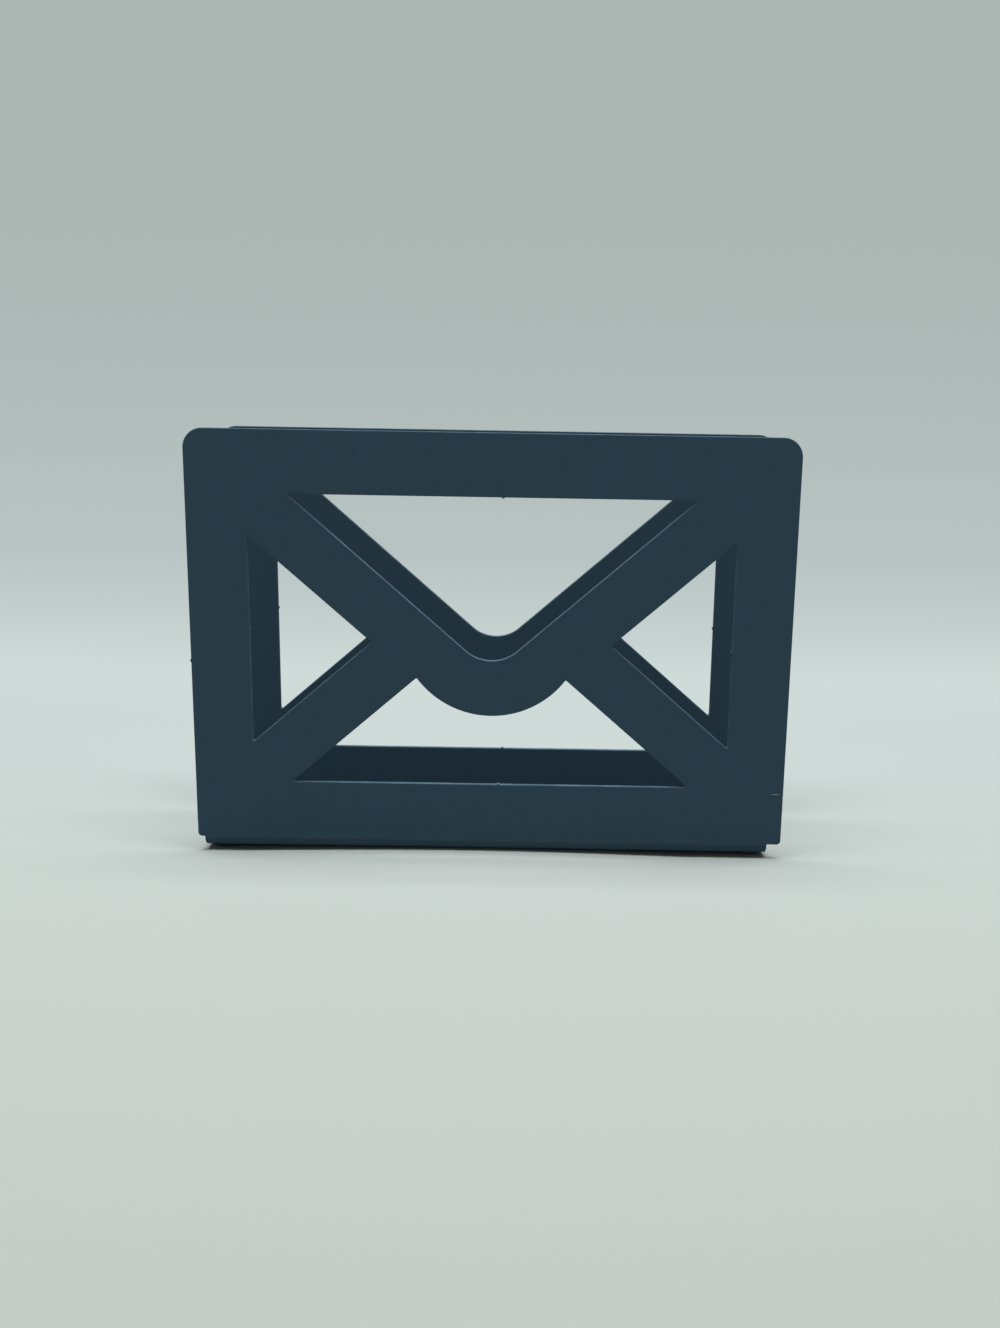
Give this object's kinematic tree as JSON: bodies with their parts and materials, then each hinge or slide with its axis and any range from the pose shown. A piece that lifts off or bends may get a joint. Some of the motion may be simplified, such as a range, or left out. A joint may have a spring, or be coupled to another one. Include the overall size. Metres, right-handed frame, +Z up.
{
  "type": "letter holder",
  "caption": "Slim desk letter holder: one coated steel sheet folded into a U, with an envelope outline cut through both panels, on stuck-on rubber feet.",
  "frame": {"origin": "on the surface that the feet stand on, below the middle of the slot", "axes": "+X along the panels, to the right as seen from the front; +Y from the front panel to the back panel; +Z up"},
  "size_m": [0.1804, 0.0426, 0.1287],
  "materials": {
    "powder_coat": "matte dark blue-grey powder coat on 1.2 mm steel",
    "foot_rubber": "matte black rubber",
    "foam_tape": "matte double-sided foam tape"
  },
  "bodies": {
    "root": {"folded_sheet": "powder_coat", "front_left_foot": "foot_rubber", "front_right_foot": "foot_rubber", "back_left_foot": "foot_rubber", "back_right_foot": "foot_rubber", "front_left_adhesive_disc": "foam_tape", "front_right_adhesive_disc": "foam_tape", "back_left_adhesive_disc": "foam_tape", "back_right_adhesive_disc": "foam_tape"}
  },
  "joints": []
}
